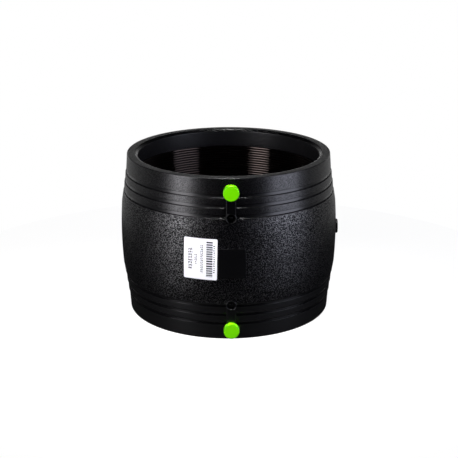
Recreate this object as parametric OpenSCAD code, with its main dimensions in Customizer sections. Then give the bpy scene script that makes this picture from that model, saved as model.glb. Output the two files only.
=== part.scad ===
// Electrofusion coupler for polyethylene pipe, standing on one end.
// Millimetres, +Z along the bore. The origin is the centre of the bottom face,
// and the terminals face -Y.

/* [Pipe socket] */
// Outside diameter of the pipe that both sockets take
pipe_d = 200; // [190:1:225]
// Play between the pipe and the bore, on the diameter
pipe_play = 1.2; // [0.8:0.1:1.6]
// Length of the coupler, face to face
body_length = 178; // [174:1:210]
// Leg of the lead-in chamfer at each mouth
mouth_chamfer = 2.6; // [1:0.1:4]
// Height of the centre stops above the bore
stop_height = 3; // [2:0.1:5]
// Length of each centre stop along the bore
stop_length = 3; // [2:0.1:4]
// Width of each centre stop round the bore, in degrees
stop_angle = 7; // [4:1:12]

/* [Outer wall] */
// Wall thickness at the end faces
rim_wall = 12; // [11:0.1:16]
// Rounding of the outer edge of each end face
rim_round = 0.8; // [0.3:0.1:1.5]
// Rise of the end bands toward the middle, per mm of length
band_slope = 0.07; // [0:0.01:0.12]
// Step out from one band to the next, past each groove
band_step = 0.7; // [0:0.1:1.4]
// Distance from the end face to the middle of the first groove
first_groove = 19; // [17:0.1:22]
// Distance from one groove to the next
groove_pitch = 10.6; // [8:0.1:12]
// Number of grooves at each end
groove_count = 3; // [1:1:3]
// Width of a groove
groove_width = 3.8; // [2:0.1:5]
// Depth of a groove
groove_depth = 1.6; // [0.8:0.1:2.4]
// Lean of a groove's sides, as a length along the wall
groove_lean = 0.4; // [0.1:0.1:0.8]
// Length of the conical shoulder past the last groove
shoulder_length = 11.9; // [8:0.1:16]
// Rise of the shoulder
shoulder_rise = 1.9; // [1:0.1:4]
// Rise of the barrelled middle above the shoulders
belly_rise = 1.3; // [0.6:0.1:3]

/* [Heating coil] */
// Diameter of the coated heating wire
wire_d = 2.6; // [2:0.1:2.8]
// Distance from one turn to the next
wire_pitch = 2.9; // [2.9:0.05:3]
// Number of turns in each socket
turns = 18; // [8:1:18]
// Cold length from the end face to the edge of the coil's pocket
cold_length = 19; // [18:0.1:21]
// Depth of the turns below the bore
wire_sink = 0.1; // [0.05:0.05:0.4]
// Clearance between the coil and its pocket
wire_clearance = 0.05; // [0.02:0.01:0.1]
// Diameter of the bare wire end inside the terminal pin
wire_core_d = 1; // [0.6:0.1:1.6]

/* [Terminals] */
// Distance from the end face to the terminal's axis
terminal_inset = 13.1; // [12:0.1:16]
// Height of the shroud's mouth above the end band
shroud_height = 9.6; // [7:0.1:12]
// Outside diameter of the shroud
shroud_d = 14.4; // [13.4:0.1:15]
// Inside diameter of the shroud
shroud_bore_d = 11.4; // [9.5:0.1:12]
// Depth of the shroud, mouth to floor
shroud_depth = 15.5; // [12:0.1:16]
// Diameter of the contact pin
pin_d = 4.7; // [4:0.1:5]
// Distance of the pin's tip below the shroud's mouth
pin_recess = 4.5; // [2:0.1:6]
// Diameter of the pin's root, moulded into the wall
root_d = 7; // [6:0.1:8]
// Length of the pin's root
root_length = 3.6; // [3:0.1:4]
// Clearance round pieces that are moulded into the wall
moulded_clearance = 0.02; // [0.01:0.01:0.05]

/* [Dust caps] */
// Wall thickness of a cap's skirt
cap_wall = 1; // [0.8:0.1:1.6]
// Thickness of a cap's face
cap_face = 1.5; // [1:0.1:2.5]
// Length of a cap's skirt below its face
cap_skirt = 4.3; // [3:0.1:4.4]
// Radial clearance between a cap and its shroud
cap_clearance = 0.1; // [0.05:0.01:0.3]
// Rounding of a cap's outer edge
cap_round = 0.9; // [0.4:0.1:1.2]

/* [Fusion indicators] */
// Distance from the end face to the indicator's axis
indicator_inset = 41.1; // [36:0.1:46]
// Height of the indicator's ring above the last band
ring_height = 3.1; // [3:0.1:5]
// Outside diameter of the ring
ring_d = 11.6; // [10:0.1:14]
// Inside diameter of the ring
well_d = 9.2; // [7:0.1:9.6]
// Depth of the well inside the ring
well_depth = 4.2; // [2:0.1:6]
// Diameter of the indicator pin
indicator_d = 3; // [2:0.1:4]
// Height of the indicator pin above the well's floor
indicator_show = 1.4; // [0.5:0.1:3]
// Radial clearance round the indicator pin
indicator_clearance = 0.1; // [0.05:0.01:0.3]
// Wall left between the indicator pin and the coil's pocket
indicator_floor = 2; // [1:0.1:4]

/* [Strap between terminal and indicator] */
// Width of the strap across its top
strap_top_w = 10; // [8:0.1:11]
// Width of the strap at its foot
strap_foot_w = 12.6; // [11:0.1:13]
// Distance of the strap's top below the ring's face
strap_drop = 2.2; // [1.9:0.1:2.6]

/* [Marking pad, label and gate mark] */
// Width of the raised marking pad
pad_w = 29; // [24:0.5:29]
// Height of the marking pad along the bore
pad_h = 33; // [20:0.5:50]
// Corner radius of the marking pad
pad_corner = 2.4; // [1:0.1:5]
// Rise of the marking pad above the wall
pad_rise = 0.7; // [0.4:0.1:1.2]
// Place of the pad's middle beside the terminals' plane
pad_shift = 0.8; // [0.8:0.1:3]
// Place of the pad's middle below mid length
pad_drop = 1; // [0:0.5:6]
// Width of the label round the wall
label_w = 36; // [28:0.5:36]
// Height of the label along the bore
label_h = 45; // [30:0.5:50]
// Corner radius of the label
label_corner = 1.3; // [0.5:0.1:3]
// Thickness of the label
label_t = 0.15; // [0.1:0.01:0.3]
// Gap of adhesive under the label
label_gap = 0.02; // [0.01:0.01:0.05]
// Distance round the wall from the terminals' plane to the label's middle
label_side = 32.7; // [32.7:0.1:60]
// Place of the label's middle above mid length
label_lift = 3.3; // [-6:0.1:6]
// Lean of the label, which was stuck on by hand
label_lean = 1.2; // [0:0.1:2]
// Diameter of the cut-off injection gate
gate_d = 16; // [8:0.5:24]
// Height of the cut-off gate above the wall
gate_rise = 2.4; // [0.5:0.1:3]

/* [Hidden] */
$fn = 96;

body_black = "#1d1d20";
cap_green = "#6fe000";
label_white = "#f4f5fa";
wire_bronze = "#6b4c3c";
pin_brass = "#c9a24b";

// Radii of the wall, from the bore outward
bore_r = (pipe_d + pipe_play) / 2;
rim_r = bore_r + rim_wall;
mid_z = body_length / 2;
last_groove = first_groove + (groove_count - 1) * groove_pitch;
shoulder_start = last_groove + groove_width / 2;
crease = shoulder_start + shoulder_length;
last_band_r = band_r(shoulder_start, groove_count);
crease_r = last_band_r + shoulder_rise;
belly_r = crease_r + belly_rise;
belly_length = mid_z - crease;
belly_arc_r = (belly_length * belly_length + belly_rise * belly_rise) / (2 * belly_rise);
belly_steps = 10;
round_steps = 3;

// Radii of the coil in its pocket
coil_r = bore_r + wire_sink + wire_d / 2;
pocket_r = coil_r + wire_d / 2 + wire_clearance;
pocket_end_play = 0.3;
first_turn = cold_length + pocket_end_play + wire_d / 2;
last_turn = first_turn + turns * wire_pitch;
pocket_end = last_turn + wire_d / 2 + pocket_end_play;
bridge_rise = body_length - 2 * last_turn;
bridge_play = 0.3;

// Facets round the wire, and round the bars and plate corners
wire_sides = 6;
bar_sides = 32;

// First leg of each lead, sideways and outward from the coil
lead_swing = 2.5;
lead_step = 1.5;

// Centre stops round the bore, and the place of the first one in degrees
stop_count = 3;
first_stop = 30;

// Places along the radius at the terminals, the strap and the indicators
band_at_terminal = band_r(terminal_inset, 0);
shroud_mouth = band_at_terminal + shroud_height;
shroud_floor = shroud_mouth - shroud_depth;
root_foot = shroud_floor - root_length;
pin_tip = shroud_mouth - pin_recess;
ring_face = last_band_r + ring_height;
well_floor = ring_face - well_depth;
strap_top = ring_face - strap_drop;
indicator_foot = pocket_r + indicator_floor;
boss_foot = rim_r - 3;
edge_break = 0.4;
knee_swell = 0.1;
overlap = 1;

// Radius of the end band number k at distance t from the end face
function band_r(t, k) = rim_r + band_slope * t + band_step * k;

// Distance from the bottom face of a place at distance t from an end face
function from_end(t, upper) = upper ? body_length - t : t;

// Middle of groove number k, from the end face
function groove_t(k) = first_groove + (k - 1) * groove_pitch;

// A groove is a flat channel with leaning sides between two bands, as [radius, distance] points
function groove_points(k) =
    let(t0 = groove_t(k) - groove_width / 2, r0 = band_r(t0, k - 1),
        t1 = groove_t(k) + groove_width / 2, r1 = band_r(t1, k))
    [[r0, t0], [r0 - groove_depth, t0 + groove_lean],
     [r1 - groove_depth, t1 - groove_lean], [r1, t1]];

// The barrelled middle is an arc that stands square at mid length
function belly_points() =
    [for (i = [0:belly_steps])
        let(t = crease + belly_length * i / belly_steps)
        [belly_r - belly_arc_r + sqrt(pow(belly_arc_r, 2) - pow(mid_z - t, 2)), t]];

// The outer wall of one half, from its end face to mid length
function half_wall() = concat(
    [for (i = [0:round_steps])
        let(a = 90 * i / round_steps)
        [rim_r - rim_round + rim_round * sin(a), rim_round - rim_round * cos(a)]],
    [for (k = [1:groove_count]) each groove_points(k)],
    belly_points());

function mirrored(points) =
    [for (i = [len(points) - 1:-1:0]) [points[i][0], body_length - points[i][1]]];

// The whole outer wall, moved outward by grow, bottom to top
function wall_points(grow = 0) =
    [for (p = concat(half_wall(), mirrored([for (i = [0:len(half_wall()) - 2]) half_wall()[i]])))
        [p[0] + grow, p[1]]];

// The bore of one half, from its end face to mid length, with the coil's pocket
function half_bore() = [
    [bore_r + mouth_chamfer, 0],
    [bore_r, mouth_chamfer],
    [bore_r, cold_length],
    [pocket_r, cold_length],
    [pocket_r, pocket_end],
    [bore_r, pocket_end]];

// The whole bore, top to bottom
function bore_points() = concat(
    [for (p = half_bore()) [p[0], body_length - p[1]]],
    [for (i = [len(half_bore()) - 1:-1:0]) half_bore()[i]]);

// Turns local +Z to -Y, so that a height becomes a distance from the bore's axis
module radial(z) {
    translate([0, 0, z]) rotate([90, 0, 0]) children();
}

// A turned piece that stands on the radius r0 and ends at r1 with a broken edge
module turned(r0, r1, d, broken = 0) {
    rotate_extrude()
        polygon([[0, r0], [d / 2, r0], [d / 2, r1 - broken], [d / 2 - broken, r1], [0, r1]]);
}

// A round bar from p to q
module bar(p, q, d) {
    v = q - p;
    translate(p)
        rotate([0, acos(v[2] / norm(v)), atan2(v[1], v[0])])
            cylinder(h = norm(v), d = d, $fn = bar_sides);
}

module rounded_plate(w, h, r, t) {
    linear_extrude(t) {
        square([w - 2 * r, h], center = true);
        square([w, h - 2 * r], center = true);
        for (x = [-1, 1], y = [-1, 1])
            translate([x * (w / 2 - r), y * (h / 2 - r)]) circle(r, $fn = bar_sides);
    }
}

// A skin over the barrelled middle, from rise r0 to rise r1 above the wall
module wall_skin(r0, r1) {
    outer = wall_points(r1);
    inner = wall_points(r0);
    back = [for (i = [len(inner) - 1:-1:0]) inner[i]];
    rotate_extrude() polygon(concat(outer, back));
}

// One turn of the section that it is given, which starts and ends at -Y and climbs by rise.
// It is two half turns, tilted so that their ends meet in the plane x = 0 with no kink.
module climbing_turn(z, rise) {
    tilt = asin(rise / (4 * coil_r));
    for (half = [0, 1])
        translate([0, 0, z + rise * (1 + 2 * half) / 4])
            rotate([half == 0 ? tilt : -tilt, 0, 0])
                rotate([0, 0, 180 * half - 90])
                    rotate_extrude(angle = 180)
                        translate([coil_r / cos(tilt), 0]) children();
}

// A coil of right-hand turns
module coil(z) {
    for (i = [0:turns - 1])
        climbing_turn(z + i * wire_pitch, wire_pitch) wire_section();
}

// The wire's section has flats, which keeps its many turns light
module wire_section() {
    circle(d = wire_d, $fn = wire_sides);
}

// The groove in the middle of the bore, open to it, that the long turn lies in
module bridge_groove() {
    groove_w = wire_d + 2 * wire_clearance;
    climbing_turn(last_turn, bridge_rise)
        translate([-groove_w / 2 - overlap, -groove_w / 2])
            square([groove_w + overlap + bridge_play, groove_w]);
}

// The lead from a coil's outer end, through the wall, to the foot of its pin
module lead(upper, d) {
    side = upper ? 1 : -1;
    coil_z = from_end(first_turn, upper);
    pin_z = from_end(terminal_inset, upper);
    lead_r = root_foot + root_length / 2;
    root_side = pin_z - side * (root_d / 2 + overlap / 2);
    coil_end = [0, -coil_r, coil_z];
    out = [side * lead_swing, -coil_r - lead_step, coil_z];
    turned_up = [0, -lead_r, coil_z + side * lead_step];
    foot = [0, -lead_r, root_side];
    bar(coil_end, out, d);
    bar(out, turned_up, d);
    bar(turned_up, foot, d);
    for (p = [coil_end, out, turned_up]) translate(p)
        sphere(d = d + knee_swell, $fn = bar_sides);
}

// The bare end of the wire inside the pin's root
module lead_core(upper, d, reach) {
    side = upper ? 1 : -1;
    pin_z = from_end(terminal_inset, upper);
    lead_r = root_foot + root_length / 2;
    bar([0, -lead_r, pin_z - side * (root_d / 2 + overlap)], [0, -lead_r, pin_z - side * reach], d);
}

module end_stops() {
    for (i = [0:stop_count - 1])
        rotate([0, 0, first_stop + 360 * i / stop_count - stop_angle / 2])
            rotate_extrude(angle = stop_angle)
                translate([bore_r - stop_height, mid_z - stop_length / 2])
                    square([stop_height + overlap, stop_length]);
}

module shell() {
    rotate_extrude() polygon(concat(wall_points(), bore_points()));
}

module terminal_boss(upper) {
    radial(from_end(terminal_inset, upper))
        turned(boss_foot, shroud_mouth, shroud_d, edge_break);
}

module terminal_cut(upper) {
    radial(from_end(terminal_inset, upper)) {
        translate([0, 0, shroud_floor])
            cylinder(h = shroud_depth + overlap, d = shroud_bore_d);
        translate([0, 0, root_foot - moulded_clearance])
            cylinder(h = root_length + overlap, d = root_d + 2 * moulded_clearance);
    }
}

module indicator_boss(upper) {
    radial(from_end(indicator_inset, upper))
        turned(boss_foot, ring_face, ring_d, edge_break / 2);
}

module indicator_cut(upper) {
    radial(from_end(indicator_inset, upper)) {
        translate([0, 0, well_floor])
            cylinder(h = well_depth + overlap, d = well_d);
        translate([0, 0, indicator_foot])
            cylinder(h = well_depth + ring_face - indicator_foot,
                     d = indicator_d + 2 * indicator_clearance);
    }
}

// The raised strap from the shroud to the indicator's ring
module strap(upper) {
    z0 = min(from_end(terminal_inset, upper), from_end(indicator_inset, upper));
    translate([0, 0, z0])
        linear_extrude(indicator_inset - terminal_inset)
            polygon([[-strap_foot_w / 2, -boss_foot], [strap_foot_w / 2, -boss_foot],
                     [strap_top_w / 2, -strap_top + edge_break],
                     [strap_top_w / 2 - edge_break, -strap_top],
                     [edge_break - strap_top_w / 2, -strap_top],
                     [-strap_top_w / 2, -strap_top + edge_break]]);
}

module marking_pad() {
    intersection() {
        wall_skin(-overlap, pad_rise);
        translate([pad_shift, 0, mid_z - pad_drop])
            rotate([90, 0, 0])
                rounded_plate(pad_w, pad_h, pad_corner, belly_r + 2 * overlap);
    }
}

module gate_mark() {
    translate([0, 0, mid_z])
        rotate([0, 90, 0])
            turned(boss_foot, belly_r + gate_rise, gate_d, edge_break);
}

module coupler_body() {
    color(body_black)
        difference() {
            union() {
                shell();
                end_stops();
                marking_pad();
                gate_mark();
                for (upper = [false, true]) {
                    terminal_boss(upper);
                    indicator_boss(upper);
                    strap(upper);
                }
            }
            bridge_groove();
            for (upper = [false, true]) {
                terminal_cut(upper);
                indicator_cut(upper);
                lead(upper, wire_d + 2 * wire_clearance);
                lead_core(upper, wire_core_d + 2 * wire_clearance, root_d / 2 - overlap);
            }
        }
}

module heating_wire() {
    color(wire_bronze) {
        coil(first_turn);
        climbing_turn(last_turn, bridge_rise) wire_section();
        coil(body_length - last_turn);
        for (upper = [false, true]) {
            lead(upper, wire_d);
            lead_core(upper, wire_core_d, root_d / 4);
        }
    }
}

module terminal_pin(upper) {
    color(pin_brass)
        difference() {
            radial(from_end(terminal_inset, upper)) {
                turned(root_foot, shroud_floor, root_d);
                turned(root_foot, pin_tip, pin_d, edge_break);
            }
            lead_core(upper, wire_core_d + 2 * wire_clearance, root_d / 4 - wire_clearance);
        }
}

// A cup that is pushed over the shroud until its face rests on the mouth
module terminal_cap(upper) {
    inner_r = shroud_d / 2 + cap_clearance;
    outer_r = inner_r + cap_wall;
    top = shroud_mouth + cap_face;
    rim = shroud_mouth - cap_skirt;
    color(cap_green)
        radial(from_end(terminal_inset, upper))
            rotate_extrude()
                polygon(concat(
                    [[0, shroud_mouth], [inner_r, shroud_mouth], [inner_r, rim], [outer_r, rim]],
                    [for (i = [0:2 * round_steps])
                        let(a = 90 * i / (2 * round_steps))
                        [outer_r - cap_round + cap_round * cos(a), top - cap_round + cap_round * sin(a)]],
                    [[0, top]]));
}

module fusion_indicator(upper) {
    dome = 0.6;
    head = well_floor + indicator_show;
    color(body_black)
        radial(from_end(indicator_inset, upper))
            rotate_extrude()
                polygon(concat(
                    [[0, indicator_foot], [indicator_d / 2, indicator_foot]],
                    [for (i = [0:2 * round_steps])
                        let(a = 90 * i / (2 * round_steps))
                        [indicator_d / 2 * cos(a), head - dome + dome * sin(a)]]));
}

module label() {
    turn = -label_side / belly_r * 180 / PI;
    color(label_white)
        intersection() {
            wall_skin(label_gap, label_gap + label_t);
            translate([0, 0, mid_z + label_lift])
                rotate([90, 0, turn])
                    rotate([0, 0, -label_lean])
                        rounded_plate(label_w, label_h, label_corner, belly_r + 2 * overlap);
        }
}

coupler_body();
heating_wire();
terminal_pin(false);  // lower_terminal_pin
terminal_pin(true);  // upper_terminal_pin
terminal_cap(false);  // lower_terminal_cap
terminal_cap(true);  // upper_terminal_cap
fusion_indicator(false);  // lower_fusion_indicator
fusion_indicator(true);  // upper_fusion_indicator
label();
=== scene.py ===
# Looks of an electrofusion coupler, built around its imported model.
import math

import bmesh
import bpy
from mathutils import Matrix, Vector


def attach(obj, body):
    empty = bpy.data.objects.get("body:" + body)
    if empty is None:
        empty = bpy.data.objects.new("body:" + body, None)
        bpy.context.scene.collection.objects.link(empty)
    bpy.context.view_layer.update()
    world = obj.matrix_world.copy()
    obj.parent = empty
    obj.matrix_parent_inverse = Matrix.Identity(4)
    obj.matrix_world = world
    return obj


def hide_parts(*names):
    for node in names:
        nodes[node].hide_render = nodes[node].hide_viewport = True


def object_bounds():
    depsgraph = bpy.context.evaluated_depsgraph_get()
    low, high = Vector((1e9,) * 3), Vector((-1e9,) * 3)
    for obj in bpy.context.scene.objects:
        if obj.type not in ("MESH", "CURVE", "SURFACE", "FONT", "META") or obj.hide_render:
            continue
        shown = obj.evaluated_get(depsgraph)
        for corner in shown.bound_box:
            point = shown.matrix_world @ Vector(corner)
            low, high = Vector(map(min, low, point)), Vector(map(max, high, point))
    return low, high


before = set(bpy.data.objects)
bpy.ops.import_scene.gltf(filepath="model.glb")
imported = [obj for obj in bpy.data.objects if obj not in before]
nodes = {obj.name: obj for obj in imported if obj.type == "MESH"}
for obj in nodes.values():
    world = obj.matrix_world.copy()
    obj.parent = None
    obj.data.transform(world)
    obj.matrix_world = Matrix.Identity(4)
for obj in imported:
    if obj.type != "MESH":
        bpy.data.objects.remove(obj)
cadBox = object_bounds()
mm = 0.001    # sizes below are in millimetres and Blender's are in metres
print("frame loaded:", len(nodes), "nodes")


# Small helpers

def linearColour(code):
    # sRGB hex to the linear values that the shaders work in
    parts = [int(code[i:i + 2], 16) / 255 for i in (1, 3, 5)]
    linear = [p / 12.92 if p <= 0.04045 else ((p + 0.055) / 1.055) ** 2.4 for p in parts]
    return (*linear, 1.0)


def addNode(tree, kind, inputs=None, **settings):
    # One shader node with its settings; an input that is a socket gets a link
    node = tree.nodes.new("ShaderNode" + kind)
    for name, value in settings.items():
        setattr(node, name, value)
    for key, value in (inputs or {}).items():
        if isinstance(value, bpy.types.NodeSocket):
            tree.links.new(value, node.inputs[key])
        else:
            node.inputs[key].default_value = value
    return node


def startMaterial(name, **shaderInputs):
    material = bpy.data.materials.new(name)
    material.use_nodes = True
    tree = material.node_tree
    tree.nodes.clear()
    shader = addNode(tree, "BsdfPrincipled", shaderInputs)
    addNode(tree, "OutputMaterial", {"Surface": shader.outputs[0]})
    return material, tree, shader


def maths(tree, operation, *values, clamp=False):
    return addNode(tree, "Math", dict(enumerate(values)), operation=operation, use_clamp=clamp).outputs[0]


def ramp(tree, value, low, high):
    # 0 below low, 1 above high, smooth between
    return addNode(tree, "MapRange", {"Value": value, "From Min": low, "From Max": high},
                   interpolation_type="SMOOTHSTEP").outputs[0]


def millimetres(tree):
    # The point's place on the object, in millimetres
    place = addNode(tree, "TexCoord").outputs["Object"]
    return addNode(tree, "VectorMath", {0: place, "Scale": 1 / mm}, operation="SCALE").outputs[0]


# Materials

grain = dict(
    # Lengths in mm. Pits and tool marks of these kinds lie about a third as far apart, which is too fine to
    # show, so each pattern is drawn as coarse as it needs
    coarsePitch=1.1,         # spark-eroded mould surface on the middle, one pit to the next
    coarseDepth=0.08,
    coarseStart=42.2,        # distance from an end face where the coarse grain begins
    finePitch=0.8,           # blasted mould surface on the upper end bands
    fineDepth=0.025,
    blend=0.8,               # over this length one grain passes into the next
    coarseLands=(0.46, 0.66),    # noise values where a pit ends and where a land is full
    fineLands=(0.35, 0.65),
    coarseShine=(0.05, 1.0),     # specular level in the pits and on the lands
    fineShine=(0.15, 0.5),
    plainShine=0.33,
    turnedPitch=1.6,         # tool marks that the turned core leaves in the bore
    turnedDepth=0.035,
    flowPitch=1.25,          # unevenness of the polished faces
    flowDepth=0.003,
)


def moulded(name, roughness, colour="#050506"):
    # Carbon-black PE 100, injection moulded: deep black with a waxy, half-matt skin
    return startMaterial(name, **{"Base Color": linearColour(colour), "Roughness": roughness,
                                  "IOR": 1.54, "Specular IOR Level": grain["plainShine"]})


def addRelief(tree, shader, relief):
    # relief is a height in millimetres
    bump = addNode(tree, "Bump", {"Height": relief, "Strength": 1.0, "Distance": mm})
    tree.links.new(bump.outputs[0], shader.inputs["Normal"])


def grainedPolyethylene():
    # The mould's eroded skin: pits that stay dark between small bright lands, coarse on the middle
    material, tree, shader = moulded("spark_grained_polyethylene", 0.28)
    place = millimetres(tree)
    height = addNode(tree, "SeparateXYZ", {0: place}).outputs["Z"]
    length = (cadBox[1][2] - cadBox[0][2]) / mm
    inward = maths(tree, "MINIMUM", height, maths(tree, "SUBTRACT", length, height))
    coarseShare = ramp(tree, inward, grain["coarseStart"], grain["coarseStart"] + grain["blend"])
    upperShare = ramp(tree, height, length / 2, length / 2 + grain["blend"])
    fineShare = maths(tree, "SUBTRACT", maths(tree, "MAXIMUM", coarseShare, upperShare), coarseShare)
    coarse = addNode(tree, "TexNoise", {"Vector": place, "Scale": 1 / grain["coarsePitch"],
                                        "Detail": 1.0, "Roughness": 0.5}).outputs[0]
    fine = addNode(tree, "TexNoise", {"Vector": place, "Scale": 1 / grain["finePitch"],
                                      "Detail": 0.0}).outputs[0]
    relief, shine = 0.0, grain["plainShine"]
    for kind, noise, share in (("fine", fine, fineShare), ("coarse", coarse, coarseShare)):
        lands = ramp(tree, noise, *grain[kind + "Lands"])
        rise = maths(tree, "MULTIPLY", maths(tree, "MULTIPLY", lands, share), grain[kind + "Depth"])
        relief = maths(tree, "ADD", relief, rise)
        pits, tops = grain[kind + "Shine"]
        level = addNode(tree, "MapRange", {"Value": lands, "To Min": pits, "To Max": tops}).outputs[0]
        shine = addNode(tree, "Mix", {"Factor": share, "A": shine, "B": level}).outputs[0]
    addRelief(tree, shader, relief)
    tree.links.new(shine, shader.inputs["Specular IOR Level"])
    return material


def smoothPolyethylene():
    # Polished mould faces, with a slight flow unevenness
    material, tree, shader = moulded("smooth_moulded_polyethylene", 0.26)
    flow = addNode(tree, "TexNoise", {"Vector": millimetres(tree), "Scale": 1 / grain["flowPitch"],
                                      "Detail": 2.0}).outputs[0]
    addRelief(tree, shader, maths(tree, "MULTIPLY", flow, grain["flowDepth"]))
    return material


def turnedPolyethylene():
    # The bore takes the turned core's fine rings, and scatters light widely. Its base colour is a lighter
    # black than the rest of the body: painted brightening that stands in for light the bore reflects
    material, tree, shader = moulded("turned_core_polyethylene", 0.37, "#101012")
    height = addNode(tree, "SeparateXYZ", {0: millimetres(tree)}).outputs["Z"]
    rings = maths(tree, "SINE", maths(tree, "MULTIPLY", height, 2 * math.pi / grain["turnedPitch"]))
    addRelief(tree, shader, maths(tree, "MULTIPLY", rings, grain["turnedDepth"]))
    return material


def wireCoat():
    # Thin clear-black polymer coat over copper: glossy, with the copper's warmth in its highlights
    return startMaterial(
        "extruded_wire_coat", **{"Base Color": linearColour("#030202"), "Roughness": 0.08, "IOR": 1.6,
                                 "Specular Tint": linearColour("#ffe6da")})[0]


def capPlastic():
    # Soft bright green polyethylene, moulded smooth: satin with a little light passing through
    return startMaterial(
        "moulded_green_cap_plastic", **{"Base Color": linearColour("#6dd300"), "Roughness": 0.3,
                                        "Specular IOR Level": 0.25, "Subsurface Weight": 0.1,
                                        "Subsurface Scale": mm})[0]


def turnedBrass():
    # Turned brass contact pins: bright, slightly dulled yellow metal
    return startMaterial(
        "turned_brass", **{"Base Color": linearColour("#c9a24b"), "Metallic": 1.0, "Roughness": 0.25})[0]


label = dict(
    # A thin sheet on the wall, left of the marking pad, in mm; lean is in degrees
    width=36.0, height=45.0, corner=1.3, bottom=0.02, top=0.17, side=-32.7, centre=92.3, lean=1.2,
    gapScale=1.1,    # noise features per mm, for the gaps in broken rows
    shadeAngle=40,
)
printedRows = [
    # Plain marks in rows that run up the label, in mm. across is measured from its middle, share is the
    # inked part of a pitch, and a broken row leaves out the marks where the noise is below its value
    dict(across=(-13.2, -8.6), length=24.0, pitch=2.9, share=0.68, broken=0.44),
    dict(across=(-6.3, -3.4), length=11.5, pitch=2.0, share=0.6, broken=0.46),
    dict(across=(0.1, 3.1), length=31.0, pitch=2.0, share=0.62, broken=0.46),
    dict(across=(6.4, 13.1), length=39.0, pitch=2.6, share=0.5, broken=None),
    dict(across=(6.4, 13.1), length=39.0, pitch=1.37, share=0.3, broken=None),
    dict(across=(13.7, 15.7), length=31.0, pitch=2.4, share=0.45, broken=0.4),
]


def between(tree, value, low, high):
    above = maths(tree, "GREATER_THAN", value, low)
    return maths(tree, "MULTIPLY", above, maths(tree, "LESS_THAN", value, high))


def labelPaper():
    # Coated paper, thermally printed: bright white and nearly flat, with dull black marks
    material, tree, shader = startMaterial("coated_label_paper", **{"Roughness": 0.5, "IOR": 1.5})
    sheet = addNode(tree, "SeparateXYZ", {0: addNode(tree, "UVMap", uv_map="sheet").outputs[0]})
    across = maths(tree, "MULTIPLY", maths(tree, "SUBTRACT", sheet.outputs["X"], 0.5), label["width"])
    along = maths(tree, "MULTIPLY", maths(tree, "SUBTRACT", sheet.outputs["Y"], 0.5), label["height"])
    place = addNode(tree, "CombineXYZ", {"X": across, "Y": along}).outputs[0]
    gaps = addNode(tree, "TexNoise", {"Vector": place, "Scale": label["gapScale"],
                                      "Detail": 0.0}).outputs[0]
    ink = 0.0
    for row in printedRows:
        part = maths(tree, "FRACT", maths(tree, "DIVIDE", along, row["pitch"]))
        mark = maths(tree, "MULTIPLY", maths(tree, "LESS_THAN", part, row["share"]),
                     between(tree, across, *row["across"]))
        mark = maths(tree, "MULTIPLY", mark,
                     between(tree, along, -row["length"] / 2, row["length"] / 2))
        if row["broken"]:
            mark = maths(tree, "MULTIPLY", mark, maths(tree, "GREATER_THAN", gaps, row["broken"]))
        ink = maths(tree, "MAXIMUM", ink, mark)
    colour = addNode(tree, "MixRGB", {"Fac": ink, "Color1": linearColour("#f9fafd"),
                                      "Color2": linearColour("#1e1e22")})
    tree.links.new(colour.outputs[0], shader.inputs["Base Color"])
    return material


smoothWall = smoothPolyethylene()
bodyFinishes = [grainedPolyethylene(), smoothWall, turnedPolyethylene()]
finish = dict(grained=0, smooth=1, turned=2)    # places in that list
coatedWire = wireCoat()
greenCap = capPlastic()
brass = turnedBrass()
paper = labelPaper()
print("materials made")


# Mesh helpers

tolerance = dict(weld=0.001, level=0.001, edge=0.01, sliver=0.002)    # lengths that count as none, mm
cornerTurn = 60    # degrees; on small pieces only the right-angled corners turn further


def paint(bm, index):
    for face in bm.faces:
        face.material_index = index


def repeated(bm, count, place):
    # Copies of all that is there so far, each moved on by one more place, then joined up
    first = bm.verts[:] + bm.edges[:] + bm.faces[:]
    for i in range(1, count):
        made = bmesh.ops.duplicate(bm, geom=first)["geom"]
        bmesh.ops.transform(bm, matrix=place(i),
                            verts=[v for v in made if isinstance(v, bmesh.types.BMVert)])
    bmesh.ops.remove_doubles(bm, verts=bm.verts, dist=tolerance["weld"] * mm)


def spinOutline(bm, points, steps, closed=True):
    # Turns (radius, height) points in millimetres round Z, as eight equal sectors
    verts = [bm.verts.new((r * mm, 0, h * mm)) for r, h in points]
    edges = [bm.edges.new(pair) for pair in zip(verts, verts[1:])]
    if closed:
        edges.append(bm.edges.new((verts[-1], verts[0])))
    sectors = 8
    sector = 2 * math.pi / sectors
    bmesh.ops.spin(bm, geom=verts + edges, cent=(0, 0, 0), axis=(0, 0, 1), angle=sector,
                   steps=steps // sectors)
    repeated(bm, sectors, lambda i: Matrix.Rotation(sector * i, 4, "Z"))
    bmesh.ops.recalc_face_normals(bm, faces=bm.faces)


def softenEdges(bm, edges, width, segments):
    bmesh.ops.bevel(bm, geom=edges, offset=width * mm, segments=segments, profile=0.5,
                    affect="EDGES", material=-1)


def sharpEdges(bm, degrees):
    limit = math.radians(degrees)
    return [e for e in bm.edges if len(e.link_faces) == 2 and e.calc_face_angle(0) > limit]


def topCorners(bm, high):
    # The square corners at a turned piece's upper end
    return [e for e in sharpEdges(bm, cornerTurn) if e.verts[0].co.z > (high - tolerance["edge"]) * mm]


def radialPlace(height):
    # Local +Z becomes -Y, out through the wall, at that height
    return Matrix.Translation((0, 0, height * mm)) @ Matrix.Rotation(math.pi / 2, 4, "X")


def meshObject(name, bm, materials):
    mesh = bpy.data.meshes.new(name)
    bm.to_mesh(mesh)
    bm.free()
    for material in materials:
        mesh.materials.append(material)
    piece = bpy.data.objects.new(name, mesh)
    bpy.context.scene.collection.objects.link(piece)
    return piece


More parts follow.
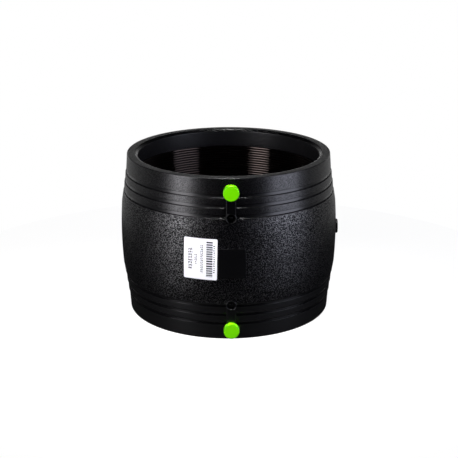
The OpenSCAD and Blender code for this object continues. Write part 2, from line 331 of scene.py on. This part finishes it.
def smoothShade(piece, degrees):
    # Clears the slivers that cuts leave, and keeps only edges that turn further than this sharp
    bm = bmesh.new()
    bm.from_mesh(piece.data)
    bmesh.ops.dissolve_degenerate(bm, dist=tolerance["sliver"] * mm, edges=bm.edges)
    for face in bm.faces:
        face.smooth = True
    for edge in bm.edges:
        edge.smooth = not (len(edge.link_faces) == 2 and edge.calc_face_angle(0) > math.radians(degrees))
    bm.to_mesh(piece.data)
    bm.free()
    weights = piece.modifiers.new("flat_faces_stay_flat", "WEIGHTED_NORMAL")
    weights.keep_sharp = True


def combine(piece, tool, operation):
    modifier = piece.modifiers.new("combine", "BOOLEAN")
    modifier.operation = operation
    modifier.solver = "MANIFOLD"
    modifier.object = tool
    with bpy.context.temp_override(object=piece, active_object=piece):
        bpy.ops.object.modifier_apply(modifier=modifier.name)
    bpy.data.objects.remove(tool)


def seat(piece, slot, *replaced):
    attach(piece, "root")
    if replaced:
        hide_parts(*replaced)


# Coupler body

body = dict(
    # Lengths in mm and angles in degrees; places along the wall are measured from an end face
    length=178.0, boreRadius=100.6, mouthChamfer=2.6, mouthRound=1.2, rimWall=12.0, rimRound=0.8,
    bandSlope=0.07, bandStep=0.7, firstGroove=19.0, groovePitch=10.6, grooves=3,
    grooveWidth=3.8, grooveDepth=1.6, grooveLean=0.4, shoulderLength=11.9, shoulderRise=1.9,
    bellyRise=1.3, bellySteps=10, coldLength=19.0, pocketRadius=103.35, pocketEnd=75.65,
    cornerAngle=40, roundSteps=4, lipAngle=18, lipInset=2.0, lipRound=0.4, lipSteps=2,
    smoothMargin=0.05, shadeAngle=32, steps=288,
)
bandLimit = body["firstGroove"] + (body["grooves"] - 1) * body["groovePitch"] + body["grooveWidth"] / 2
crease = bandLimit + body["shoulderLength"]    # where a shoulder meets the barrelled middle
middle = body["length"] / 2


def bandRadius(distance, step):
    # Outer radius at that distance from the end face, on the band after that many grooves
    return body["boreRadius"] + body["rimWall"] + body["bandSlope"] * distance + body["bandStep"] * step


lastBandRadius = bandRadius(bandLimit, body["grooves"])
bellyRadius = lastBandRadius + body["shoulderRise"] + body["bellyRise"]
bellyLength = middle - crease
bellyArc = (bellyLength ** 2 + body["bellyRise"] ** 2) / (2 * body["bellyRise"])    # the barrel's radius


def bellyRadiusAt(distance):
    return bellyRadius - bellyArc + math.sqrt(bellyArc ** 2 - (middle - distance) ** 2)


def halfWall():
    # Outer wall from the end face to mid length, as (radius, distance) points
    points = [(bandRadius(0, 0), 0)]
    for k in range(body["grooves"]):
        centre = body["firstGroove"] + k * body["groovePitch"]
        start, end = centre - body["grooveWidth"] / 2, centre + body["grooveWidth"] / 2
        before, after = bandRadius(start, k), bandRadius(end, k + 1)
        points += [(before, start), (before - body["grooveDepth"], start + body["grooveLean"]),
                   (after - body["grooveDepth"], end - body["grooveLean"]), (after, end)]
    for i in range(body["bellySteps"] + 1):
        distance = crease + bellyLength * i / body["bellySteps"]
        points.append((bellyRadiusAt(distance), distance))
    return points


def halfBore():
    # Lead-in chamfer, cold zone and the coil's pocket, as (radius, distance) points
    bore, pocket, chamfer = body["boreRadius"], body["pocketRadius"], body["mouthChamfer"]
    return [(bore + chamfer, 0), (bore, chamfer), (bore, body["coldLength"]),
            (pocket, body["coldLength"]), (pocket, body["pocketEnd"]), (bore, body["pocketEnd"])]


def softenShell(bm):
    # The end faces' corners first, then the small lips of chamfers, pockets and grooves
    length, midRim = body["length"], (body["boreRadius"] + body["rimWall"] / 2) * mm
    corners = [e for e in sharpEdges(bm, body["cornerAngle"])
               if min(e.verts[0].co.z, length * mm - e.verts[0].co.z) < tolerance["edge"] * mm]
    rim = [e for e in corners if e.verts[0].co.xy.length > midRim]
    softenEdges(bm, rim, body["rimRound"], body["roundSteps"])
    softenEdges(bm, [e for e in corners if e not in rim], body["mouthRound"], body["roundSteps"])
    lips = []
    for edge in sharpEdges(bm, body["lipAngle"]):
        place, other = edge.verts[0].co, edge.verts[1].co
        level = abs(place.z - other.z) < tolerance["level"] * mm
        outside = place.xy.length > (body["boreRadius"] - tolerance["edge"]) * mm
        inset = body["lipInset"] * mm < place.z < (length - body["lipInset"]) * mm
        if level and outside and (inset or place.xy.length < midRim):
            lips.append(edge)
    softenEdges(bm, lips, body["lipRound"], body["lipSteps"])


def bodyShell():
    wall, bore, length = halfWall(), halfBore(), body["length"]
    outline = wall + [(radius, length - distance) for radius, distance in reversed(wall[:-1])]
    outline += [(radius, length - distance) for radius, distance in bore] + list(reversed(bore))
    bm = bmesh.new()
    spinOutline(bm, outline, body["steps"])
    softenShell(bm)
    smoothLip = body["grooveWidth"] / 2 + body["lipRound"] + body["smoothMargin"]
    for face in bm.faces:
        centre = face.calc_center_median() / mm
        inward = min(centre.z, length - centre.z)
        groove = min(abs(inward - body["firstGroove"] - k * body["groovePitch"])
                     for k in range(body["grooves"]))
        if centre.xy.length < body["pocketRadius"]:
            turned = inward > body["mouthChamfer"]
            face.material_index = finish["turned"] if turned else finish["smooth"]
        else:
            face.material_index = finish["smooth"] if groove < smoothLip else finish["grained"]
    return meshObject("coupler_shell", bm, bodyFinishes)


fittings = dict(
    # Terminals and indicators, in mm: insets from the end faces, foot as a radius, the rest as sizes;
    # cutPast is how far a cutter stands out past its hole, and bite how far a tube sinks into the wall
    terminalInset=13.1, indicatorInset=41.1, foot=109.6, shroudHeight=9.6, shroudD=14.4,
    shroudBore=11.4, shroudDepth=15.5, ringHeight=3.1, ringD=11.6, wellD=9.2, wellDepth=4.2,
    edgeBreak=0.5, edgeSteps=3, strapDrop=2.2, strapTopWidth=10.0, strapFootWidth=12.6,
    rootD=7.0, rootLength=3.6, clearance=0.02, cutPast=5.0, rootCutPast=1.0, bite=0.5, steps=64,
)
shroudMouth = bandRadius(fittings["terminalInset"], 0) + fittings["shroudHeight"]
shroudFloor = shroudMouth - fittings["shroudDepth"]
ringFace = lastBandRadius + fittings["ringHeight"]
strapTop = ringFace - fittings["strapDrop"]


def fromEnd(distance, upper):
    # Height of what lies that far from the upper or the lower end face
    return body["length"] - distance if upper else distance


def radialTube(inner, outer, low, high, height):
    # A short tube that stands out through the wall, with both top edges softened
    bm = bmesh.new()
    spinOutline(bm, [(inner, low), (outer, low), (outer, high), (inner, high)], fittings["steps"])
    softenEdges(bm, topCorners(bm, high), fittings["edgeBreak"], fittings["edgeSteps"])
    paint(bm, finish["smooth"])
    bmesh.ops.transform(bm, matrix=radialPlace(height), verts=bm.verts)
    return meshObject("tube", bm, bodyFinishes)


def radialPlug(radius, low, high, height):
    # A round cutter that stands out through the wall
    bm = bmesh.new()
    bmesh.ops.create_cone(bm, cap_ends=True, segments=fittings["steps"], radius1=radius * mm,
                          radius2=radius * mm, depth=(high - low) * mm)
    bmesh.ops.translate(bm, vec=(0, 0, (low + high) / 2 * mm), verts=bm.verts)
    paint(bm, finish["smooth"])
    bmesh.ops.transform(bm, matrix=radialPlace(height), verts=bm.verts)
    return meshObject("plug", bm, bodyFinishes)


def strapBlock(low, high):
    # The raised strap over the lead, a bar with sloped sides
    top, foot = fittings["strapTopWidth"] / 2, fittings["strapFootWidth"] / 2
    corners = [(-foot, -fittings["foot"]), (foot, -fittings["foot"]), (top, -strapTop), (-top, -strapTop)]
    bm = bmesh.new()
    face = bm.faces.new([bm.verts.new((x * mm, y * mm, low * mm)) for x, y in corners])
    made = bmesh.ops.extrude_face_region(bm, geom=[face])["geom"]
    bmesh.ops.translate(bm, vec=(0, 0, (high - low) * mm),
                        verts=[v for v in made if isinstance(v, bmesh.types.BMVert)])
    bmesh.ops.recalc_face_normals(bm, faces=bm.faces)
    ridge = [e for e in bm.edges if all(v.co.y < -(strapTop - tolerance["edge"]) * mm for v in e.verts)
             and abs(e.verts[0].co.z - e.verts[1].co.z) > mm]
    softenEdges(bm, ridge, fittings["edgeBreak"], fittings["edgeSteps"])
    paint(bm, finish["smooth"])
    return meshObject("strap", bm, bodyFinishes)


patchGrid = dict(cuts=24, cornerSteps=6, edgeSteps=2, snap=0.0001)    # snap in mm


def wallPatch(patch, materials, index):
    # A plate with round corners, cut into a grid, then bent round the barrelled wall
    width, tall = patch["width"], patch["height"]
    bm = bmesh.new()
    bmesh.ops.create_grid(bm, x_segments=1, y_segments=1, size=0.5)
    bmesh.ops.scale(bm, vec=(width * mm, tall * mm, 1), verts=bm.verts)
    bmesh.ops.bevel(bm, geom=list(bm.verts), offset=patch["corner"] * mm, profile=0.5,
                    segments=patchGrid["cornerSteps"], affect="VERTICES", material=-1)
    for axis, span in ((Vector((1, 0, 0)), width), (Vector((0, 1, 0)), tall)):
        for i in range(1, patchGrid["cuts"]):
            place = axis * (i / patchGrid["cuts"] - 0.5) * span * mm
            bmesh.ops.bisect_plane(bm, geom=bm.verts[:] + bm.edges[:] + bm.faces[:], plane_no=axis,
                                   plane_co=place, dist=patchGrid["snap"] * mm)
    sheet = bm.loops.layers.uv.new("sheet")
    for face in bm.faces:
        for loop in face.loops:
            loop[sheet].uv = (loop.vert.co.x / mm / width + 0.5, loop.vert.co.y / mm / tall + 0.5)
    raised = bmesh.ops.extrude_face_region(bm, geom=bm.faces[:], use_keep_orig=True)["geom"]
    bmesh.ops.translate(bm, vec=(0, 0, (patch["top"] - patch["bottom"]) * mm),
                        verts=[v for v in raised if isinstance(v, bmesh.types.BMVert)])
    bmesh.ops.recalc_face_normals(bm, faces=bm.faces)
    if patch.get("edgeBreak"):
        border = [e for e in sharpEdges(bm, cornerTurn)
                  if all(v.co.z > tolerance["level"] * mm for v in e.verts)]
        softenEdges(bm, border, patch["edgeBreak"], patchGrid["edgeSteps"])
    bmesh.ops.rotate(bm, cent=(0, 0, 0), matrix=Matrix.Rotation(-math.radians(patch["lean"]), 3, "Z"),
                     verts=bm.verts)
    for vert in bm.verts:
        height = patch["centre"] * mm + vert.co.y
        wall = bellyRadiusAt(min(height / mm, body["length"] - height / mm)) * mm
        radius = wall + patch["bottom"] * mm + vert.co.z
        turn = (patch["side"] * mm + vert.co.x) / (bellyRadius * mm)
        vert.co = (radius * math.sin(turn), -radius * math.cos(turn), height)
    paint(bm, index)
    bmesh.ops.recalc_face_normals(bm, faces=bm.faces)
    return meshObject("patch", bm, materials)


# bottom and top are measured from the wall, side round it from the middle of the front
markingPad = dict(width=29.0, height=33.0, corner=2.4, bottom=-1.0, top=0.7, edgeBreak=0.4,
                  side=0.8, centre=88.0, lean=0.0)
gateMark = dict(diameter=16.0, rise=2.4, edgeBreak=0.4)


def gateDisc():
    # Where the injection gate was cut off, a flat disc on the +X side
    bm = bmesh.new()
    radius, high = gateMark["diameter"] / 2, bellyRadius + gateMark["rise"]
    spinOutline(bm, [(0, fittings["foot"]), (radius, fittings["foot"]), (radius, high), (0, high)],
                fittings["steps"], closed=False)
    softenEdges(bm, topCorners(bm, high), gateMark["edgeBreak"], fittings["edgeSteps"])
    paint(bm, finish["smooth"])
    place = Matrix.Translation((0, 0, middle * mm)) @ Matrix.Rotation(math.pi / 2, 4, "Y")
    bmesh.ops.transform(bm, matrix=place, verts=bm.verts)
    return meshObject("gate", bm, bodyFinishes)


stops = dict(height=3.0, length=3.0, angle=7.0, count=3, first=30.0, bite=1.0, steps=6)


def centreStop(turn):
    # A short rib in the bore that the pipe's end stands against
    low, high = body["boreRadius"] - stops["height"], body["boreRadius"] + stops["bite"]
    bottom, top = middle - stops["length"] / 2, middle + stops["length"] / 2
    bm = bmesh.new()
    verts = [bm.verts.new((r * mm, 0, h * mm)) for r, h in
             ((low, bottom), (high, bottom), (high, top), (low, top))]
    edges = [bm.edges.new((verts[i - 1], verts[i])) for i in range(4)]
    bmesh.ops.spin(bm, geom=verts + edges, cent=(0, 0, 0), axis=(0, 0, 1),
                   angle=math.radians(stops["angle"]), steps=stops["steps"])
    bmesh.ops.holes_fill(bm, edges=[e for e in bm.edges if len(e.link_faces) == 1])
    bmesh.ops.recalc_face_normals(bm, faces=bm.faces)
    paint(bm, finish["smooth"])
    bmesh.ops.rotate(bm, cent=(0, 0, 0), verts=bm.verts,
                     matrix=Matrix.Rotation(math.radians(turn - stops["angle"] / 2), 3, "Z"))
    return meshObject("stop", bm, bodyFinishes)


wire = dict(
    # In mm: swing and step shape the lead's first bend, bare is how much core shows before the pin,
    # play is the bridge groove's room behind the wire, and cutPast how far that groove's cutter stands
    # into the bore; each bend's ball is a little thicker than its bars, so their faces never coincide
    coilRadius=102.0, diameter=2.6, pitch=2.9, turns=18, firstTurn=20.6, clearance=0.05,
    coreD=1.0, swing=2.5, step=1.5, bare=0.5, play=0.3, cutPast=1.0, bendSwell=0.03,
    shadeAngle=50, leadSides=24, steps=120, sides=10,
)
lastTurn = wire["firstTurn"] + wire["turns"] * wire["pitch"]
bridgeRise = body["length"] - 2 * lastTurn


def sweepTurn(bm, start, rise):
    # Carries the section in bm, drawn at -Y and the origin's height, once round and up
    bmesh.ops.translate(bm, vec=(0, 0, start * mm), verts=bm.verts)
    bmesh.ops.spin(bm, geom=bm.verts[:] + bm.edges[:], cent=(0, 0, 0), axis=(0, 0, 1),
                   steps=wire["steps"], dvec=(0, 0, rise * mm / wire["steps"]), angle=2 * math.pi)


def bridgeGroove():
    # The cutter for the groove that the bridge turn lies in
    half = wire["diameter"] / 2 + wire["clearance"]
    inner = wire["coilRadius"] - half - wire["cutPast"]
    outer = wire["coilRadius"] + half + wire["play"]
    bm = bmesh.new()
    verts = [bm.verts.new((0, -r * mm, h * mm)) for r, h in
             ((inner, -half), (outer, -half), (outer, half), (inner, half))]
    for i in range(4):
        bm.edges.new((verts[i - 1], verts[i]))
    sweepTurn(bm, lastTurn, bridgeRise)
    bmesh.ops.holes_fill(bm, edges=[e for e in bm.edges if len(e.link_faces) == 1])
    bmesh.ops.recalc_face_normals(bm, faces=bm.faces)
    paint(bm, finish["turned"])
    return meshObject("groove", bm, bodyFinishes)


def leadPath(upper):
    # Corners of the lead that leaves a coil and climbs inside the wall to its pin's root, in mm
    side = 1 if upper else -1
    coil, pin = fromEnd(wire["firstTurn"], upper), fromEnd(fittings["terminalInset"], upper)
    leadRadius = shroudFloor - fittings["rootLength"] / 2
    root = fittings["rootD"] / 2
    return [Vector((0, -wire["coilRadius"], coil)),
            Vector((side * wire["swing"], -wire["coilRadius"] - wire["step"], coil)),
            Vector((0, -leadRadius, coil + side * wire["step"])),
            Vector((0, -leadRadius, pin - side * (root + wire["bare"]))),
            Vector((0, -leadRadius, pin - side * root / 2))]


def leadShape(upper, wide, thin, materials, index):
    # Bars with a ball at each bend, united; the last one is the bare core's
    path = leadPath(upper)
    legs = [(a, b, wide) for a, b in zip(path[:3], path[1:4])] + [(path[3], path[4], thin)]
    lead = None
    for start, end, diameter in legs:
        along = end - start
        turn = along.to_track_quat("Z", "Y").to_matrix().to_4x4()
        bar, bend = bmesh.new(), bmesh.new()
        bmesh.ops.create_cone(bar, cap_ends=True, segments=wire["leadSides"], radius1=diameter / 2 * mm,
                              radius2=diameter / 2 * mm, depth=along.length * mm,
                              matrix=Matrix.Translation((start + end) / 2 * mm) @ turn)
        bmesh.ops.create_uvsphere(bend, u_segments=wire["leadSides"], v_segments=wire["leadSides"] // 2,
                                  radius=(diameter / 2 + wire["bendSwell"]) * mm,
                                  matrix=Matrix.Translation(start * mm))
        for bm in (bar, bend):
            paint(bm, index)
            piece = meshObject("leg", bm, materials)
            if lead:
                combine(lead, piece, "UNION")
            else:
                lead = piece
    return lead


def makeBody():
    shell = bodyShell()
    for i in range(stops["count"]):
        combine(shell, centreStop(stops["first"] + 360 * i / stops["count"]), "UNION")
    shroudMid = (fittings["shroudD"] + fittings["shroudBore"]) / 4
    ringMid = (fittings["ringD"] + fittings["wellD"]) / 4
    wellFloor = ringFace - fittings["wellDepth"]
    rootHole = fittings["rootD"] / 2 + fittings["clearance"]
    rootFloor = shroudFloor - fittings["rootLength"] - fittings["clearance"]
    cutPast, bite = fittings["cutPast"], fittings["bite"]
    gap = 2 * wire["clearance"]
    for upper in (False, True):
        terminal = fromEnd(fittings["terminalInset"], upper)
        indicator = fromEnd(fittings["indicatorInset"], upper)
        combine(shell, strapBlock(min(terminal, indicator), max(terminal, indicator)), "UNION")
        combine(shell, radialPlug(shroudMid, shroudFloor, shroudMouth + cutPast, terminal), "DIFFERENCE")
        combine(shell, radialPlug(ringMid, wellFloor, ringFace + cutPast, indicator), "DIFFERENCE")
        combine(shell, radialTube(fittings["shroudBore"] / 2, fittings["shroudD"] / 2,
                                  shroudFloor - bite, shroudMouth, terminal), "UNION")
        combine(shell, radialTube(fittings["wellD"] / 2, fittings["ringD"] / 2,
                                  wellFloor - bite, ringFace, indicator), "UNION")
        combine(shell, radialPlug(rootHole, rootFloor, shroudFloor + fittings["rootCutPast"], terminal),
                "DIFFERENCE")
        groove = leadShape(upper, wire["diameter"] + gap, wire["coreD"] + gap, bodyFinishes,
                           finish["smooth"])
        combine(shell, groove, "DIFFERENCE")
    combine(shell, bridgeGroove(), "DIFFERENCE")
    combine(shell, wallPatch(markingPad, bodyFinishes, finish["smooth"]), "UNION")
    combine(shell, gateDisc(), "UNION")
    smoothShade(shell, body["shadeAngle"])
    shell.name = "moulded_body"
    seat(shell, "moulded_polyethylene", "coupler_body")


makeBody()
print("coupler body made")


# Heating wire

def addTurns(piece, start, turns, rise):
    # Right-hand turns from -Y; one is swept, and the others are copies a rise apart
    bm = bmesh.new()
    bmesh.ops.create_circle(bm, segments=wire["sides"], radius=wire["diameter"] / 2 * mm,
                            matrix=Matrix.Translation((0, -wire["coilRadius"] * mm, 0)) @
                            Matrix.Rotation(math.pi / 2, 4, "Y"))
    sweepTurn(bm, start, rise)
    repeated(bm, turns, lambda i: Matrix.Translation((0, 0, i * rise * mm)))
    copy = bpy.data.meshes.new("turns")
    bm.to_mesh(copy)
    bm.free()
    piece.from_mesh(copy)
    bpy.data.meshes.remove(copy)


def makeWire():
    bm = bmesh.new()
    addTurns(bm, wire["firstTurn"], wire["turns"], wire["pitch"])
    addTurns(bm, lastTurn, 1, bridgeRise)
    addTurns(bm, lastTurn + bridgeRise, wire["turns"], wire["pitch"])
    bmesh.ops.remove_doubles(bm, verts=bm.verts, dist=tolerance["weld"] * mm)
    bmesh.ops.holes_fill(bm, edges=[e for e in bm.edges if len(e.link_faces) == 1])
    bmesh.ops.recalc_face_normals(bm, faces=bm.faces)
    piece = meshObject("wound_wire", bm, [coatedWire])
    for upper in (False, True):
        combine(piece, leadShape(upper, wire["diameter"], wire["coreD"], [coatedWire], 0), "UNION")
    smoothShade(piece, wire["shadeAngle"])
    seat(piece, "coated_wire", "heating_wire")


makeWire()
print("heating wire made")


# Dust caps

cap = dict(innerRadius=7.3, outerRadius=8.3, face=1.5, skirt=4.3, rounding=0.9, roundingSteps=5,
           shadeAngle=40, steps=64)


def makeCap(node, height):
    # A cup pushed over the shroud, with its outer edge rounded
    top, rim = shroudMouth + cap["face"], shroudMouth - cap["skirt"]
    bm = bmesh.new()
    spinOutline(bm, [(0, shroudMouth), (cap["innerRadius"], shroudMouth), (cap["innerRadius"], rim),
                     (cap["outerRadius"], rim), (cap["outerRadius"], top), (0, top)],
                cap["steps"], closed=False)
    softenEdges(bm, topCorners(bm, top), cap["rounding"], cap["roundingSteps"])
    bmesh.ops.transform(bm, matrix=radialPlace(height), verts=bm.verts)
    piece = meshObject(node + "_moulded", bm, [greenCap])
    smoothShade(piece, cap["shadeAngle"])
    seat(piece, "cap_plastic", node)


makeCap("lower_terminal_cap", fromEnd(fittings["terminalInset"], False))
makeCap("upper_terminal_cap", fromEnd(fittings["terminalInset"], True))


# Label, pins and indicators

def makeLabel():
    piece = wallPatch(label, [paper], 0)
    piece.name = "paper_label"
    smoothShade(piece, label["shadeAngle"])
    seat(piece, "label_paper", "label")


makeLabel()

# The pins and indicators keep the model's own solids
for name, material in (("lower_terminal_pin", brass), ("upper_terminal_pin", brass),
                       ("lower_fusion_indicator", smoothWall), ("upper_fusion_indicator", smoothWall)):
    nodes[name].data.materials.clear()
    nodes[name].data.materials.append(material)
print("small pieces made")


# Studio

camera = dict(
    # mm and degrees, round the middle of the body; the aim lies a little beside and below it
    distance=1347.0, elevation=18.256, azimuth=-1.23, lens=93.32, roll=-0.147, aimSide=0.3, aimDrop=2.7,
    nearest=0.01, farthest=50,    # metres
)


def makeCamera():
    centre = Vector((0, 0, middle * mm))
    around, up = math.radians(camera["azimuth"]), math.radians(camera["elevation"])
    away = Vector((math.sin(around) * math.cos(up), -math.cos(around) * math.cos(up), math.sin(up)))
    side = Vector((math.cos(around), math.sin(around), 0))
    above = away.cross(side)
    aim = centre + side * camera["aimSide"] * mm - above * camera["aimDrop"] * mm
    lens = bpy.data.cameras.new("camera")
    lens.lens = camera["lens"]
    lens.clip_start, lens.clip_end = camera["nearest"], camera["farthest"]
    view = bpy.data.objects.new("camera", lens)
    view.location = centre + away * camera["distance"] * mm
    turn = (aim - view.location).to_track_quat("-Z", "Y").to_matrix().to_4x4()
    view.matrix_world = Matrix.Translation(view.location) @ turn @ \
        Matrix.Rotation(math.radians(camera["roll"]), 4, "Z")
    bpy.context.scene.collection.objects.link(view)
    bpy.context.scene.camera = view


lamps = [
    # Places and sizes in metres. Tall boxes at both sides leave a dark gap round the camera; two gridded
    # strips overhead light the back of the rim and the front edges, and little of the bore
    dict(name="left_softbox", place=(-0.42, -0.36, 0.30), aim=(0, 0, 0.09), size=(0.22, 0.8),
         watts=4.1, colour="#fbf9ff", spread=180),
    dict(name="right_softbox", place=(1.1, -0.62, 0.35), aim=(0, 0, 0.09), size=(0.8, 1.2),
         watts=14.8, colour="#e9ecff", spread=180),
    dict(name="rear_strip", place=(0, 0.16, 1.1), aim=(0, 0.1, 0.178), size=(0.5, 0.12),
         watts=0.1, colour="#ffffff", spread=14),
    dict(name="front_strip", place=(0, -0.27, 1.1), aim=(0, -0.16, 0.16), size=(0.5, 0.12),
         watts=0.6, colour="#ffffff", spread=14),
]
backdrop = dict(
    # A soft wall behind the object that fades upwards, and a brighter streak low along it; the limits are
    # parts of a unit direction, back along +Y and up along +Z
    strength=0.34, start=-0.5, full=0.5, low=0.0, high=0.45,
    horizon=2.4, horizonStart=0.5, horizonFull=0.8, horizonFoot=-0.05, horizonTop=0.1,
)
floor = dict(radius=0.4, steps=64, paint="#101010", roughness=0.6, lit="#707070", glow=0.94)


def makeLamps():
    for lamp in lamps:
        data = bpy.data.lights.new(lamp["name"], "AREA")
        data.shape = "RECTANGLE"
        data.size, data.size_y = lamp["size"]
        data.energy = lamp["watts"]
        data.color = linearColour(lamp["colour"])[:3]
        data.spread = math.radians(lamp["spread"])
        piece = bpy.data.objects.new(lamp["name"], data)
        piece.location = lamp["place"]
        away = Vector(lamp["aim"]) - piece.location
        piece.rotation_euler = away.to_track_quat("-Z", "Y").to_euler()
        bpy.context.scene.collection.objects.link(piece)


def seenOtherwise(tree, plain, seen):
    # The second shader where the camera looks straight at it, the first for all the light on the object
    path = addNode(tree, "LightPath").outputs
    return addNode(tree, "MixShader", {0: path["Is Camera Ray"], 1: plain.outputs[0],
                                       2: seen.outputs[0]}).outputs[0]


def makeBackdrop():
    world = bpy.data.worlds.new("studio")
    bpy.context.scene.world = world
    world.use_nodes = True
    tree = world.node_tree
    tree.nodes.clear()
    direction = addNode(tree, "TexCoord").outputs["Generated"]
    towards = addNode(tree, "SeparateXYZ", {0: direction}).outputs
    wide = ramp(tree, towards["Y"], backdrop["start"], backdrop["full"])
    low = maths(tree, "SUBTRACT", 1.0, ramp(tree, towards["Z"], backdrop["low"], backdrop["high"]))
    strength = maths(tree, "MULTIPLY", maths(tree, "MULTIPLY", wide, low), backdrop["strength"])
    behind = ramp(tree, towards["Y"], backdrop["horizonStart"], backdrop["horizonFull"])
    belowTop = maths(tree, "SUBTRACT", 1.0, ramp(tree, towards["Z"], 0.0, backdrop["horizonTop"]))
    streak = maths(tree, "MULTIPLY", ramp(tree, towards["Z"], backdrop["horizonFoot"], 0.0), belowTop)
    glow = maths(tree, "MULTIPLY", maths(tree, "MULTIPLY", behind, streak), backdrop["horizon"])
    strength = maths(tree, "ADD", strength, glow)
    soft = addNode(tree, "Background", {"Color": linearColour("#ffffff"), "Strength": strength})
    white = addNode(tree, "Background", {"Color": linearColour("#ffffff"), "Strength": 1.0})
    addNode(tree, "OutputWorld", {"Surface": seenOtherwise(tree, soft, white)})


def floorPaint():
    # Matt dark paint to the object; to the camera it nearly glows white and still takes a shadow
    material = bpy.data.materials.new("painted_studio_floor")
    material.use_nodes = True
    tree = material.node_tree
    tree.nodes.clear()
    dark = addNode(tree, "BsdfPrincipled", {"Base Color": linearColour(floor["paint"]),
                                            "Roughness": floor["roughness"]})
    lit = addNode(tree, "BsdfDiffuse", {"Color": linearColour(floor["lit"])})
    glow = addNode(tree, "Emission", {"Color": linearColour("#ffffff"), "Strength": floor["glow"]})
    shown = addNode(tree, "AddShader", {0: lit.outputs[0], 1: glow.outputs[0]})
    addNode(tree, "OutputMaterial", {"Surface": seenOtherwise(tree, dark, shown)})
    return material


def makeFloor():
    bm = bmesh.new()
    bmesh.ops.create_circle(bm, cap_ends=True, segments=floor["steps"], radius=floor["radius"])
    meshObject("studio_floor", bm, [floorPaint()])


makeCamera()
makeLamps()
makeBackdrop()
makeFloor()
bpy.context.scene.view_settings.view_transform = "Standard"
print("studio made")
